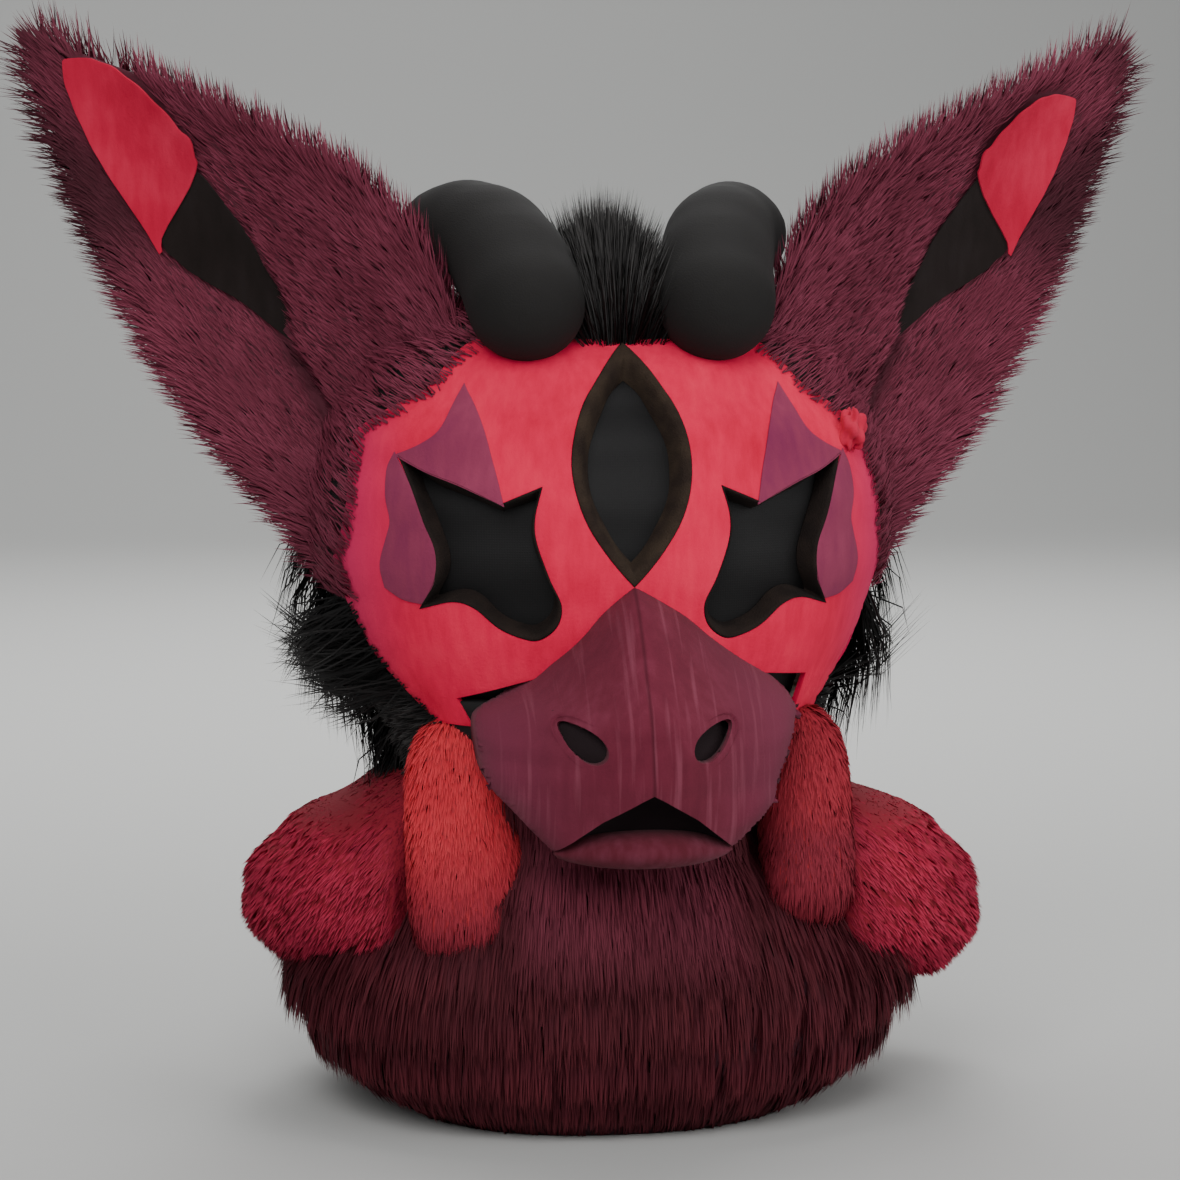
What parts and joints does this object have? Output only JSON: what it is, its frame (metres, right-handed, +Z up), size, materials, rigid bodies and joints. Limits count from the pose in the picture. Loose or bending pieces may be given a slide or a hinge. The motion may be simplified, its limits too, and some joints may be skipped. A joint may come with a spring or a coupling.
{
  "type": "fursuit head",
  "caption": "Hollow padded animal costume head with long cupped ears, stuffed horns, mesh eyes, a padded muzzle and a flared neck fur skirt that it rests on.",
  "frame": {"origin": "middle of the bounding box on the ground that the neck skirt rests on", "axes": "+Z up, the face looks along -Y, +X to the right of a person facing the head"},
  "size_m": [0.5942, 0.3516, 0.5575],
  "materials": {
    "foam": "open-cell upholstery foam, matte",
    "coral_felt": "coral red short-pile fleece, matte",
    "mauve_felt": "dusty mauve short-pile fleece, matte",
    "dark_rim": "dark brown foam edge, matte",
    "eye_mesh": "black plastic see-through mesh",
    "ear_fur": "wine faux fur, 12 mm pile",
    "black_fur": "black faux fur, 40 mm pile",
    "horn_cloth": "black stretch cloth over stuffing",
    "red_fur": "crimson faux fur, 15 mm pile",
    "chest_fur": "dark maroon faux fur, 50 mm pile",
    "throat_fur": "mauve faux fur, 20 mm pile",
    "mouth_cloth": "near-black lining cloth"
  },
  "bodies": {
    "root": {"brow_mesh": "eye_mesh", "brow_rim": "dark_rim", "cheek_slot_mesh_left": "eye_mesh", "cheek_slot_mesh_right": "eye_mesh", "chest_fur": "chest_fur", "ear_black_patch_left": "horn_cloth", "ear_black_patch_right": "horn_cloth", "ear_left": "ear_fur", "ear_right": "ear_fur", "ear_tip_patch_left": "coral_felt", "ear_tip_patch_right": "coral_felt", "eye_mesh_left": "eye_mesh", "eye_mesh_right": "eye_mesh", "eye_rim_left": "dark_rim", "eye_rim_right": "dark_rim", "face_cover": "coral_felt", "hair_tuft": "black_fur", "head_foam": "foam", "hood_fur": "black_fur", "horn_left": "horn_cloth", "horn_right": "horn_cloth", "lower_jaw": "mauve_felt", "mouth_lining": "mouth_cloth", "muzzle_cover": "mauve_felt", "neck_stripe_left": "red_fur", "neck_stripe_right": "red_fur", "shoulder_fur_left": "red_fur", "shoulder_fur_right": "red_fur", "side_marking_left": "mauve_felt", "side_marking_right": "mauve_felt", "throat_fur": "throat_fur", "upper_marking_left": "mauve_felt", "upper_marking_right": "mauve_felt"}
  },
  "joints": []
}
